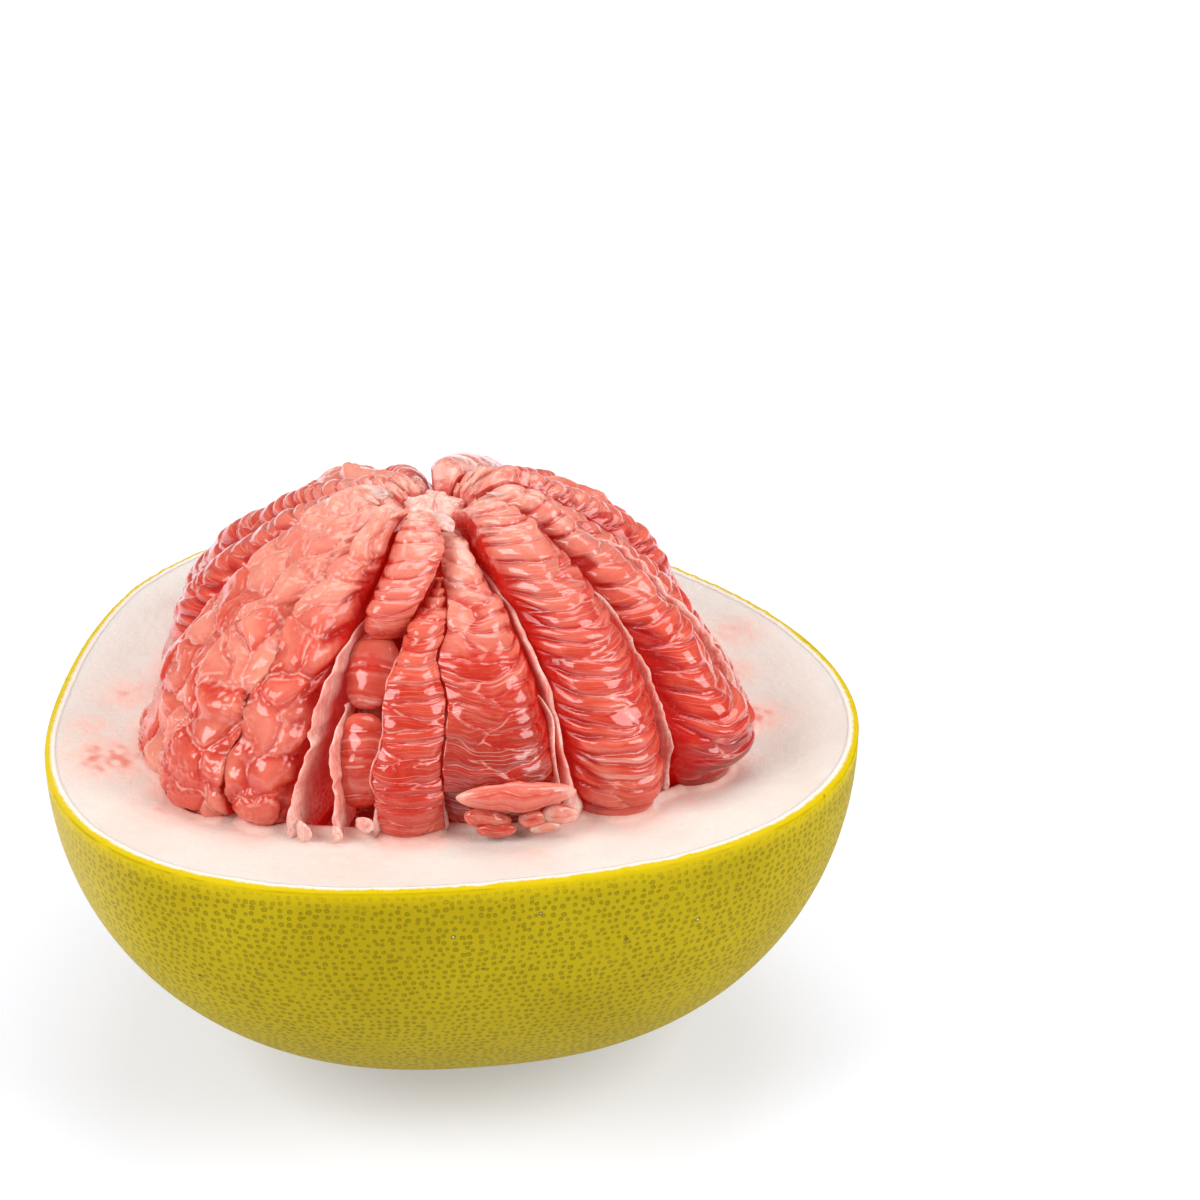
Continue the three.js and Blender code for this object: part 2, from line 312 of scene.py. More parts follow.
def on_the_level(angle, distance):
    """The same place as x and y in mm."""
    return np.stack(np.broadcast_arrays(distance * np.cos(angle), distance * np.sin(angle)), -1)


def smooth(value, low, high):
    """0 below low, 1 above high, and a smooth rise between them."""
    share = np.clip((value - low) / (high - low), 0, 1)
    return share * share * (3 - 2 * share)


def waves(points, size, seed, count=28):
    """Seeded smooth unevenness, mostly between -1 and 1, with bumps of about one size."""
    draw = np.random.default_rng(seed)
    directions = draw.normal(size=(count, points.shape[-1])) * 4 / size
    return np.sin(points @ directions.T + draw.uniform(0, tau, count)).sum(-1) / np.sqrt(2 * count)


print("mean radius", FRUIT_RADIUS, "mm, cut", CUT_HEIGHT, "mm above the floor")


# %% The flesh's outline as a curve with measured length
def through(points, steps):
    """A smooth curve through points, the same number of steps between each pair."""
    ends = np.vstack([points[:1], points, points[-1:]])
    share = np.linspace(0, 1, steps, endpoint=False)[:, None]
    pieces = []
    for a, b, c, d in zip(ends, ends[1:], ends[2:], ends[3:]):
        slope_b, slope_c = (c - a) / 2, (d - b) / 2
        cubic = (2 * b - 2 * c + slope_b + slope_c) * share**3
        pieces.append(cubic + (3 * c - 3 * b - 2 * slope_b - slope_c) * share**2 + slope_b * share + b)
    return np.vstack([*pieces, points[-1:]])


STEPS = 20
outline = through(FLESH_OUTLINE, STEPS)
lengths = np.concatenate([[0], np.cumsum(np.linalg.norm(np.diff(outline, axis=0), axis=1))])
LOW_LENGTH = lengths[CUT_POINT * STEPS]
HIGH_LENGTH = lengths[-1] - LOW_LENGTH


def flesh_outline(along):
    """Distance from the core, height from the cut and share of the whole curve."""
    at = LOW_LENGTH + along
    distance = np.interp(at, lengths, outline[:, 0])
    return distance, np.interp(at, lengths, outline[:, 1]), np.clip(at / lengths[-1], 0, 1)


def row_line(angle, along):
    """A straight row of the flesh: its reach out, its height there, and its height on the axis."""
    distance, height, share = flesh_outline(along)
    outer = distance * (FLESH_RADIUS + lobes(angle)) / FLESH_RADIUS
    return outer, height + 0 * outer, AXIS_BOTTOM + (AXIS_TOP - AXIS_BOTTOM) * share + 0 * outer


def row_point(line, inwards, least=0.0):
    """Distance and height of the point so far inwards on a row, but no nearer than least to the axis."""
    outer, height, axis = line
    distance = np.maximum(outer * (1 - inwards / np.hypot(outer, height - axis)), least)
    return distance, axis + (height - axis) * distance / outer


print(f"flesh: {LOW_LENGTH:.1f} mm of outline below the cut and {HIGH_LENGTH:.1f} mm above it")

# %% [markdown]
# The flesh has 17 segments. Between each two there is a seam, which turns a little from the cut to
# the top, a groove along it, and a membrane that ends somewhere below the surface. Some segments are
# broken, so parts of them lie deeper. Both lists turn anticlockwise from the front right.

# %% Seams and segments
SEAMS = [  # direction at the cut, at the top, depth of the groove, of the membrane, where it turns
    (-41, -28, 7.5, 5.5), (-21, -9, 5.5, 5), (0, 13, 5, 6), (22, 33, 5.5, 6.5), (44, 48, 6, 5.5),
    (66, 62, 6, 7), (88, 96, 6.5, 6), (111, 113, 5.5, 6.5), (134, 133, 6, 5.5), (157, 155, 5, 6),
    (181, 178, 5, 5.5), (214, 217, 3, 5), (233, 231, 3, 5.5), (245.5, 249, 7, 2.5),
    (260.5, 275.5, 3.5, 3.5, 0.38, 0.9), (273.5, 275.5, 3.5, 5), (299, 298, 7.5, 4),
]
WHOLE = dict(
    top=1.0,  # share of the height at which it ends
    dents=(),  # lowest and highest share of the height, depth in mm, roundness of the upper edge
    pitch=3.4, length=15.0, depth=0.66, warp=1.3, arch=1.5, small_sacs=0.0,  # its sacs
    lumps=0.5,
    tone=0.0, foot_tone=0.0, top_tone=0.0, top_from=48,  # paler above 0; below 0 deeper red by the painted shade of the lower flesh
)
PEBBLED = dict(pitch=8.6, length=9.6, depth=1.35, warp=3.5, arch=0.0, small_sacs=1.0, lumps=1.3)


def wedge(*out, **changes):
    """A segment that stands out of the outline by five values in mm, and its changes to a whole one."""
    return {**WHOLE, "out": out, **changes}


SEGMENTS = [
    wedge(
        0.5, 5.2, 1, 0, 0, pitch=4.6, depth=0.8, length=16.0, lumps=0.8, foot_tone=-0.8,
        dents=((-0.1, 0.12, 1.8, 0.05),),
    ),
    wedge(-2.5, -4.6, -4.5, -3.5, -2.5, top=0.98, pitch=4.2, length=9.0),
    wedge(-2.5, -5.5, -5.6, 0, -0.5),
    wedge(0, 0, 0.5, 1, -3, **PEBBLED),
    wedge(0, 0, 0, 1.5, -3.5, top=0.97),
    wedge(0, 0, 0, 1, -3, pitch=9.0, length=14.0, depth=0.4, lumps=0.3),
    wedge(0, 0, -1, -4, -9.5, top=0.94),
    wedge(0, 0, 0, -2.8, -6, **PEBBLED),
    wedge(0, 1.8, 0.3, -2.6, -5, top=0.97),
    wedge(-0.5, -1.5, -0.3, -2, -4),
    wedge(0, -3.2, -2, -2, -1, top=0.98, **PEBBLED),
    wedge(0.3, 0, 0, -0.3, 0, **PEBBLED),
    wedge(-2.5, -1, 0.5, 1, 1, **PEBBLED),
    wedge(
        0.3, 0.5, 0.5, 0.5, 0.5, dents=((0.0, 0.5, 13.0, 0.13),),
        pitch=3.4, length=13.0, depth=0.35, tone=-0.28,
    ),
    wedge(
        -1, -0.8, -0.3, 0, 0, top=0.7, dents=((0.62, 1.0, 4.0, 0.05),),
        pitch=3.0, length=14.0, depth=0.5, tone=-0.1,
    ),
    wedge(
        0, 0, 0, 0, 0, top=0.88, dents=((-0.08, 0.1, 3.5, 0.05), (0.66, 1.0, 4.5, 0.05)),
        pitch=4.0, length=13.0, depth=0.4, warp=3.0, tone=-0.72, top_tone=0.2, top_from=34,
    ),
    wedge(-1.2, 0, 1, 1.5, 1, pitch=3.6, length=20.0),
]
ROUNDNESS = 2.4  # 2 would make the face of a segment a parabola between its grooves
CLEAR = 0.45  # mm between a segment and the middle of its membrane
LEAST_DEPTH = 1.5
DENT_EDGE = 0.05
OUT_HEIGHTS = (-0.12, 0, 0.1, 0.28, 0.5, 0.85)


def seam_draw(seam, along, size):
    """Unevenness along a seam, the same for all that meets there."""
    along = np.asarray(along, float)
    return waves(np.stack([along, 0 * along], -1), size, int(10 * abs(seam[0])))


def shallowness(seam):
    """0 for a seam with a deep groove, up to 1 for a shallow one."""
    return smooth(-seam[2], -4.5, -3)


def seam_angle(seam, along):
    """Direction of a seam. Shallow ones wander more."""
    cut, tip = radians(seam[0]), radians(seam[1])
    wander = (0.35 + 1.5 * shallowness(seam)) * smooth(along, 2, 14)
    wander = wander * seam_draw(seam, along, 17) / flesh_outline(along)[0]
    turns = seam[4:] or (0, 1)
    return cut + (tip - cut) * smooth(along / HIGH_LENGTH, *turns) + wander


def seam_groove(seam, along):
    """Depth of the groove at a seam. Shallow ones come and go."""
    faint = shallowness(seam)
    lower = 0.7 * smooth(along, 50, 30) * faint
    return seam[2] * (1 - lower) * (1 + 0.5 * faint * seam_draw(seam, along, 11))


print(len(SEGMENTS), "segments between", len(SEAMS), "seams")


# %% From rings of points to a mesh
def lofted(name, rings, attributes):
    """A closed skin over rings of points, with a fan over each end, and values at its points."""
    rows, sides = rings.shape[:2]
    start, end = rings[0].mean(0), rings[-1].mean(0)
    points = np.vstack([rings.reshape(-1, 3), start, end])
    side = np.arange(sides)
    after = (side + 1) % sides
    base = (np.arange(rows - 1) * sides)[:, None]
    corners = [base + side, base + after, base + sides + after, base + sides + side]
    quads = np.stack(corners, -1).reshape(-1, 4)
    fan_low = np.stack([after, side, np.full(sides, rows * sides)], -1)
    top = (rows - 1) * sides
    fan_high = np.stack([top + side, top + after, np.full(sides, rows * sides + 1)], -1)
    mesh = bpy.data.meshes.new(name)
    mesh.from_pydata(points.tolist(), [], quads.tolist() + fan_low.tolist() + fan_high.tolist())
    for key, values in attributes.items():
        flat = values.reshape(rows * sides, -1)
        flat = np.vstack([flat, flat[:sides].mean(0), flat[-sides:].mean(0)]).astype(np.float32)
        kind, field = ("FLOAT", "value") if flat.shape[1] == 1 else ("FLOAT_VECTOR", "vector")
        mesh.attributes.new(key, kind, "POINT").data.foreach_set(field, flat.ravel())
    mesh.shade_smooth()
    return new_object(name, mesh)


def finish_piece(piece, slot, *nodes):
    """Hangs the piece under the root, hides the plain solids it stands for and prints its size. The slot is
    not used.
    """
    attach(piece, "root")
    if nodes:
        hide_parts(*nodes)
    print(piece.name, "has", len(piece.data.polygons), "faces")


# %% [markdown]
# ## The rind
#
# The yellow skin is about a millimetre of waxy, oily tissue that passes into the white pith with no
# sharp border. It is lofted as one closed shell: up the outside from the flat spot, over the ragged
# edge of the cut, and down the inside. Its oil glands are too small to model, so the shading draws
# them: rows of them run round the fruit, one to each stretch of a row, at a place that a seeded draw
# moves about, and each is an olive dot with a dimple.


# %% The surface of the cut
def cut_level(angle, distance):
    """How far the cut face lies above or below its mean level: a knife's slow waves, and soft sponge."""
    flat = on_the_level(angle, distance)
    dish = -0.9 * smooth(FRUIT_RADIUS - distance, 3, 16)
    return -0.45 + dish + 0.3 * waves(flat, 45, 1) + 0.1 * waves(flat, 9, 2) + 0.04 * waves(flat, 2.5, 3)


SIDES = 480
around = np.arange(SIDES) / SIDES * tau
rim_radius = FRUIT_RADIUS + lobes(around)


def bowl(share, inset):
    """A ring of points at a share of the bowl's depth, on a surface so far inside the outside."""
    fall = (1 - share**BOTTOM_FULLNESS) ** (1 / BOTTOM_FULLNESS)
    return place(around, (rim_radius - inset) * fall, np.full(SIDES, -share * (FRUIT_DEPTH - inset)))


print(f"the rim is {rim_radius.min():.1f} to {rim_radius.max():.1f} mm from the core")

# %% Lofting the rind
ROWS_OUTSIDE, ROWS_INSIDE = 84, 14
RIM = ((0.06, 0.5), (0.22, 0.18), (0.5, 0.04), (0.85, 0), (1.2, 0), (1.6, 0), (RIND_THICKNESS, 0))
turns = np.linspace(np.arcsin(CUT_HEIGHT / FRUIT_DEPTH), 0.012, ROWS_OUTSIDE)
rings = [bowl(np.sin(turn), 0) for turn in turns]
edge = on_the_level(around, rim_radius)
nick = 0.12 * waves(edge, 2.2, 4) + 0.08 * waves(edge, 0.9, 5)
for inset, drop in RIM:
    distance = rim_radius - inset
    ragged = nick * smooth(RIND_THICKNESS - inset, 0, 1.5)
    rings.append(place(around, distance, cut_level(around, distance) + ragged - drop))
turns = np.linspace(0.05, np.arcsin(0.985), ROWS_INSIDE)
rings = np.array(rings + [bowl(np.sin(turn), RIND_THICKNESS) for turn in turns])
depths = [0.0] * ROWS_OUTSIDE + [inset for inset, _ in RIM] + [RIND_THICKNESS] * ROWS_INSIDE
skin_depth = np.broadcast_to(np.array(depths)[:, None], rings.shape[:2])
steps = np.linalg.norm(np.diff(rings[:ROWS_OUTSIDE], axis=0), axis=2) / MM
below_cut = np.zeros(rings.shape[:2])
below_cut[: ROWS_OUTSIDE - 1] = np.cumsum(steps[::-1], 0)[::-1]
rind = lofted("rind_skin", rings, {"skin_depth": skin_depth, "below_cut": below_cut})
print(f"the outside is {below_cut.max():.0f} mm long from the edge of the cut to the flat spot")

# %% The rows of oil glands
GLAND_ROW, GLAND_STEP = 1.5, 1.7  # mm from row to row, and from gland to gland
BOWL_RADIUS = 76
GOLDEN = 0.618  # shifts each row against the one before
waxy, tree, shader = material(
    "waxy_rind", IOR=1.12, Subsurface_Weight=0.1, Subsurface_Scale=0.002,
    Subsurface_Radius=(1.0, 0.7, 0.1), Coat_Roughness=0.25,
)
at = object_mm(tree)
level = attribute(tree, "below_cut") / GLAND_ROW + 1.4 * at.noise(0.09)
row = level.math("FLOOR")
turn = at.part().math("ARCTAN2", at.part("Y") * -1.0) / tau
narrowed = (row * (GLAND_ROW / BOWL_RADIUS)).math("MINIMUM", 1.5).math("COSINE")
many = (narrowed * (tau * FRUIT_RADIUS / GLAND_STEP)).math("ROUND")
along_row = (turn + row * GOLDEN + 0.004 * at.noise(0.12)) * many
step = along_row.math("FLOOR")
drawn = combined(tree, step, row, 0.0)
drawn = tree.add("ShaderNodeTexWhiteNoise", [drawn], "Color", noise_dimensions="2D")
aside = (along_row - step - 0.25 - 0.5 * drawn.part()) * GLAND_STEP
down = (level - row - 0.25 - 0.5 * drawn.part("Y")) * GLAND_ROW
gland = (aside * aside + down * down) ** 0.5 * (0.72 + 0.4 * drawn.part("Z"))
outside = attribute(tree, "below_cut").ramp(0.3, 1.2)
spot = gland.ramp(0.5, 0.26) * outside
ring = gland.ramp(0.5, 0.36) * gland.ramp(0.1, 0.3) * outside
print("glands take", len(waxy.node_tree.nodes), "nodes")

# %% The rind's finish
up = at.part("Z")
speck = at.vector("ADD", (40.0, 7.0, 3.0)).cells("F1", 0.11, dimensions="3D")
chosen = speck.other("Color").part()
scar = speck.ramp(0.075, 0.03) * chosen.ramp(0.45, 0.5)
blossom_end = at.vector("SUBTRACT", (4.4, 0.0, 0.0)).length()
ground = at.noise(0.035, 3).ramp(0.35, 0.65).blend("ae9702", "b9a309")
tinted = ground.layered(
    (up.ramp(62, 4) * 0.6, "9e8a05"),  # painted shade: duller and darker towards the bottom
    (at.noise(2.2, 3).ramp(0.3, 0.7) * 0.35, "baa410"),
    ((spot * 0.4 + ring * 0.25) * at.noise(0.12).ramp(0.1, 0.5), "6f6602"),  # glands
    (at.part().ramp(-50, -80) * 0.45, "e0c878"),  # painted highlight: the left side paler, as the left soft box washes it out
    (up.ramp(66.5, 71.3) * (0.75 + 0.25 * at.noise(0.6)) * 0.9, "dcc008"),  # fresh at the cut
    (scar * 0.85, "6d5a23"),
    (speck.ramp(0.035, 0.015) * chosen.ramp(0.7, 0.72) * 0.9, "e8e0b4"),  # pale specks
    ((blossom_end + 2.2 * at.noise(0.7)).ramp(5.2, 2.4) * 0.9, "5b4a22"),  # withered
)
depth = attribute(tree, "skin_depth") + 0.9 * (at.noise(1.6, 4) - 0.5)
dimples = spot * -0.6 + at.noise(0.5, 2) * 0.9 + at.noise(3.0, 2) * 0.12 + scar * 0.5
feed(
    tree, shader, Base_Color=depth.ramp(0.75, 1.55).blend(tinted, "f3e8dd"),
    Roughness=0.46 + 0.14 * at.noise(0.9) + 0.3 * depth.ramp(0.7, 1.4),
    Coat_Weight=depth.ramp(0.8, 0.3) * 0.05,
    Normal=dimples.relief(0.22),
)
rind.data.materials.append(waxy)
finish_piece(rind, "rind", "rind")

# %% [markdown]
# ## The segments
#
# A segment is a wedge of flesh between two membranes. Its outer face is a bundle of juice sacs, each
# a spindle full of juice. On most segments they lie across it, so that it looks ribbed. Where a
# segment was turned as it was torn free they show end on, as pebbles. The wedge is lofted from the
# form above, and Geometry Nodes raise the sacs on it: uneven cells with a sharp crease round each,
# flat pillows where they are long and domes where they are round, with small sacs between the domes.

# %% Geometry Nodes that raise the sacs
UNEVEN = 0.9  # of the cells, 0 for a regular grid
SAC_SIZES = {
    "Pitch": 3.6, "Length": 13.0, "Depth": 0.6, "Warp": 2.0, "Arch": 1.0, "Small sacs": 0.0, "Seed": 0.0,
}


def sac_relief_tree(finish):
    """Raises sacs on a surface that knows its length and width in mm, and its room for relief."""
    group = bpy.data.node_groups.new("sac_relief", "GeometryNodeTree")
    tree = Tree(group)
    group.interface.new_socket("Geometry", in_out="INPUT", socket_type="NodeSocketGeometry")
    for name, value in SAC_SIZES.items():
        socket = group.interface.new_socket(name, in_out="INPUT", socket_type="NodeSocketFloat")
        socket.default_value = value
    group.interface.new_socket("Geometry", in_out="OUTPUT", socket_type="NodeSocketGeometry")
    given = tree.add("NodeGroupInput")
    seed, depth = given.other("Seed"), given.other("Depth")

    def named(name, kind="FLOAT"):
        return tree.add("GeometryNodeInputNamedAttribute", {"Name": name}, data_type=kind)

    def step(kind, geometry, settings={}, **inputs):
        return tree.add("GeometryNode" + kind, {"Geometry": geometry, **inputs}, **settings)

    flat = named("surface_mm", "FLOAT_VECTOR")
    arch = given.other("Arch") * flat.part("Y") ** 2.0 / -100.0
    flat = flat.vector("ADD", combined(tree, arch + seed * 137.0, seed * 61.0, 0.0))
    drift = flat.noise(0.11, 1).other("Color").vector("SUBTRACT", (0.5, 0.5, 0.5))
    warp = given.other("Warp") * 2.0
    drift = drift.vector("MULTIPLY", combined(tree, warp, warp * 2.0, 0.0))
    size = combined(tree, given.other("Pitch"), given.other("Length"), 1.0)
    at = flat.vector("ADD", drift).vector("DIVIDE", size)
    edge = at.cells("DISTANCE_TO_EDGE", 1.0, UNEVEN)
    sac = at.cells("F1", 1.0, UNEVEN)
    round_ones = given.other("Small sacs")
    flat_top = edge.ramp(-0.03, 0.2) * 0.7 + edge.ramp(0.0, 0.5) * 0.5
    dome = 1.0 - (1.0 - (edge / 0.5).clamped()) ** 2.0
    pillow = flat_top * (1.0 - round_ones) + dome * round_ones
    chance = sac.other("Color").part()
    within = at.vector("SUBTRACT", sac.other("Position"))
    tilt = within.part() * (chance.other("Y") - 0.5)
    raised = pillow * (0.75 + 0.4 * chance + 0.9 * tilt) - 0.6
    small = flat.cells("DISTANCE_TO_EDGE", 0.42, 1.0)
    cluster = flat.noise(0.09, 1).ramp(0.5, 0.62)
    between = round_ones * ((1.0 - pillow) * 0.45 + cluster * 0.5) * (small / 0.3).clamped() ** 0.5
    fibre = flat.scaled(1.6, 0.22, 1.0).noise(1.0, 2)
    uneven = (flat.noise(0.5, 2) - 0.5) * 0.18 + (fibre - 0.5) * 0.07
    push = ((raised + between * 0.5) * depth + uneven) * named("relief_room") * MM
    normal = tree.add("GeometryNodeInputNormal")
    offset = tree.add("ShaderNodeVectorMath", {"Vector": normal, "Scale": push}, operation="SCALE")
    shaped = step("SetPosition", given, Offset=offset)
    per_point = {"data_type": "FLOAT_VECTOR", "domain": "POINT"}
    shaped = step("StoreNamedAttribute", shaped, per_point, Name="sac_place", Value=at)
    shaped = step("SetMaterial", step("RealizeInstances", shaped), Material=finish)
    tree.add("NodeGroupOutput", {"Geometry": shaped})
    print("sac relief tree has", len(group.nodes), "nodes")
    return group


def with_nodes(piece, group, **values):
    """Runs a Geometry Nodes tree on a piece and keeps the result as its plain mesh."""
    modifier = piece.modifiers.new(group.name, "NODES")
    modifier.node_group = group
    for item in group.interface.items_tree:
        key = item.name.lower().replace(" ", "_")
        if item.in_out == "INPUT" and key in values:
            modifier[item.identifier] = float(values[key])
    evaluated = piece.evaluated_get(bpy.context.evaluated_depsgraph_get())
    made = bpy.data.meshes.new_from_object(evaluated)
    plain = piece.data
    piece.modifiers.clear()
    piece.data = made
    bpy.data.meshes.remove(plain)
    made.shade_smooth()
    return piece


# %% [markdown]
# Wet flesh is glossy on top and cloudy inside. Light goes in, spreads and comes back redder, so the
# shader scatters below the surface, and a faint glow in the grooves stands for light that passes
# through whole sacs. The colour has the salmon of full sacs, the milky pink of torn ones and of the
# top, pale lines where the skins of two sacs meet, and thin threads. Painted shade adds deep red in
# the grooves, along the creases between sacs, low down and inside the bowl.

# %% What the finish of wet flesh knows of a place
wet, tree, shader = material(
    "wet_flesh", IOR=1.3, Subsurface_Weight=0.45, Subsurface_Scale=0.004,
    Subsurface_Radius=(1.0, 0.2, 0.12), Coat_Roughness=0.07, Coat_IOR=1.56, Emission_Strength=1.0,
)
at, place_mm = attribute(tree, "sac_place", "Vector"), object_mm(tree)
groove, tip_share, milky = (attribute(tree, name) for name in ("groove", "height_share", "milky"))
clear = 1.0 - milky
edge = at.cells("DISTANCE_TO_EDGE", 1.0, UNEVEN)
chance = at.cells("F1", 1.0, UNEVEN).other("Color").part()
cloud = at.scaled(2.2, 3.0, 1.0).noise(1.0, 3)
streak = at.scaled(9.0, 2.4, 1.0).noise(1.0, 3, 0.6)
patch = place_mm.noise(0.14, 3)
wall = edge.ramp(0.045, 0.008) * clear * 0.8 + edge.ramp(0.05, 0.0) * milky
wall = wall + edge.ramp(0.09, 0.13) * edge.ramp(0.2, 0.15) * milky * chance.other("Y") * 0.8
wall = wall * place_mm.noise(0.4, 3).ramp(0.4, 0.62)
# painted shade: deeper red along the creases between sacs
crease_shade = edge.ramp(0.28, 0.02) * (chance.other("Y") + cloud - 0.5).ramp(0.3, 0.7)
fibre = (at.scaled(4.2, 1.1, 1.0).noise(1.0, 2) - 0.5).math("ABSOLUTE").ramp(0.05, 0.005)
thread = (at.scaled(1.1, 0.3, 1.0).noise(1.0, 1) - 0.5).math("ABSOLUTE").ramp(0.009, 0.001)
notch = edge.ramp(0.3, 0.02) * groove.ramp(0.12, 0.4)
deep = groove + 0.5 * (place_mm.noise(0.45, 3) - 0.5)
veil = (place_mm.noise(0.22, 4, 0.6) + tip_share * 0.5).ramp(0.9, 1.1) * tip_share.ramp(0.6, 0.9)
print("the flesh is described by", len(wet.node_tree.nodes), "nodes")

# %% The finish of wet flesh
# painted shade and light: milky sacs deeper red in the creases between their domes, paler on their tops
dome_shading = edge.ramp(0.02, 0.4).blend("cf3b26", "ea8b74")
flesh = (cloud * 0.9 + chance * 0.5 + patch * 0.6).ramp(0.6, 1.3).blend("c32914", "d8523a")
flesh = flesh.layered(
    (tip_share.ramp(0.4, 0.0) * 0.4, "b92a16"),  # painted shade: deeper red low down
    (streak.ramp(0.5, 0.72) * 0.35, "e17a63"),
    ((chance.other("Z") + cloud).ramp(1.12, 1.5) * 0.45, "e2745d"),  # single pale sacs
    (tip_share.ramp(0.35, 0.95) * 0.7, "eb9f8a"),  # paler towards the top
    (tip_share.ramp(-0.25, -0.7) * 0.9, "8e160f"),  # painted shade: dark red deep inside the bowl
    (milky * (0.4 + 0.45 * patch.ramp(0.4, 0.65)), dome_shading),
    (milky * chance.ramp(0.5, 0.9) * 0.45, "f2a791"),
    (milky * chance.ramp(0.45, 0.15) * 0.4, "d4402a"),
    (milky * tip_share.ramp(0.35, 0.9) * 0.5, "efa490"),
    # painted shade along the creases between sacs
    (crease_shade * clear * 0.8, "c62012"),
    (wall * 0.65, "f3bbaa"),
    (fibre * clear * patch.ramp(0.38, 0.6) * 0.14, "f0b3a0"),
    (thread * clear * 0.4, "f3c0b0"),
    ((notch * 0.9 + deep.ramp(0.35, 0.95)).clamped() * 0.92, "ae0c06"),  # painted shade: dark red deep in the grooves and where sacs end at them
    (veil * 0.6, "f0c6b8"),
    (tip_share.ramp(0.86, 1.04) * (0.2 + 0.4 * cloud), "f0b7a4"),
)
fine = edge.ramp(0.0, 0.08) * 0.25 + streak * clear * 0.2
fine = fine + place_mm.noise(0.9, 2) * (0.5 - milky * 0.25)
bare = (1.0 - 0.6 * veil) * (1.0 - 0.5 * milky * tip_share.ramp(0.15, 0.5))
feed(
    tree, shader, Base_Color=flesh,
    Roughness=0.14 + 0.3 * place_mm.noise(0.8, 2).ramp(0.48, 0.75) + 0.2 * veil,
    Coat_Weight=0.75 * groove.ramp(1.0, 0.3) * bare,
    Emission_Color=deep.ramp(0.2, 0.95).blend("0c0000", "5c0200"),
    Normal=fine.relief(0.14),
)
sac_relief = sac_relief_tree(wet)
print("wet flesh has", len(wet.node_tree.nodes), "nodes")


# %% The outer face of a segment
def dent_depth(dents, up):
    """How deep the surface lies where sacs have come away, by the share of the height above the cut."""
    deepest = np.zeros_like(up)
    for low, high, amount, roundness in dents:
        above = np.clip((up - high) / roundness, 0, 1)
        inside = smooth(up, low - DENT_EDGE, low) * (1 - np.sqrt(1 - (1 - above) ** 2))
        deepest = np.maximum(deepest, amount * inside)
    return deepest


def stand_out(values, up):
    """How far a segment stands out of the outline: smooth steps between its five values."""
    steps = zip((0, *values), values, OUT_HEIGHTS, OUT_HEIGHTS[1:])
    return sum((value - before) * smooth(up, low, high) for before, value, low, high in steps)


def inner_edge(first, last):
    """How near to the axis a segment's thin inner edge can come, between its two seams."""
    return np.maximum(CORE_RADIUS + 1, (0.9 + 2 * CLEAR) / (last - first))


def flesh_surface(index, along, s):
    """The outer face without its sacs: direction, distance, height, depth in a groove, and both seams.

    s goes from -1 at the right seam to 1 at the left one.
    """
    own, right, left = SEGMENTS[index], SEAMS[index], SEAMS[(index + 1) % len(SEAMS)]
    turn = tau if index + 1 == len(SEAMS) else 0
    first, last = seam_angle(right, along), seam_angle(left, along) + turn
    up = along / HIGH_LENGTH
    end = HIGH_LENGTH * own["top"]
    grown = stand_out(own["out"], up) - dent_depth(own["dents"], up)
    foot = 1.6 * smooth(along, 9, 0) * smooth(along, -10, 0)
    shallow = (0.3 + 0.7 * smooth(up, -1, 0)) * (1 - 0.65 * smooth(up, 0.5, 1))
    groove = np.where(s < 0, seam_groove(right, along), seam_groove(left, along)) * shallow + foot
    dark = np.where(s < 0, smooth(right[2], 2.5, 5), smooth(left[2], 2.5, 5))
    tuck = smooth(along, 2, -2) * smooth(along, -12, -3)
    tip = 3.5 * smooth(along, end - 6, end) ** 2
    fall = np.abs(s) ** ROUNDNESS
    middle = first + (last - first) * (s + 1) / 2
    thin = inner_edge(first, last)
    clear = CLEAR * (0.15 + 0.85 * dark)
    spread = np.stack(np.broadcast_arrays(along, (middle - middle.mean(1, keepdims=True)) * 45), -1)
    lumps = own["lumps"] * waves(spread, 15, 400 + index) * smooth(up, 0, 0.12) * (1 - fall)
    inwards = groove * fall - grown - lumps + tuck + tip
    distance, height = row_point(row_line(middle, along), inwards, thin + LEAST_DEPTH)
    middle = middle - s * clear / distance
    return middle, distance, height, groove * fall * dark / 7, first, last


reach = flesh_surface(0, np.zeros((1, 1)), np.zeros((1, 1)))[1].item()
print(f"segment_01 reaches {reach:.1f} mm from the core at the cut")

# %% Lofting the segments
FLANK = (0.03, 0.08, 0.17, 0.4)  # shares of the way from the outer face to the thin inner edge
SEEN, HIDDEN = (0.3, 74), (0.5, 56)  # step along a segment in mm, and columns across it
BURIED_ROWS = np.arange(6) / 6
SKIN_START = -5


def across(columns):
    """Places across a segment, closer together towards its seams."""
    spread = np.linspace(-1, 1, columns)
    return spread * (1.25 - 0.25 * spread**2)


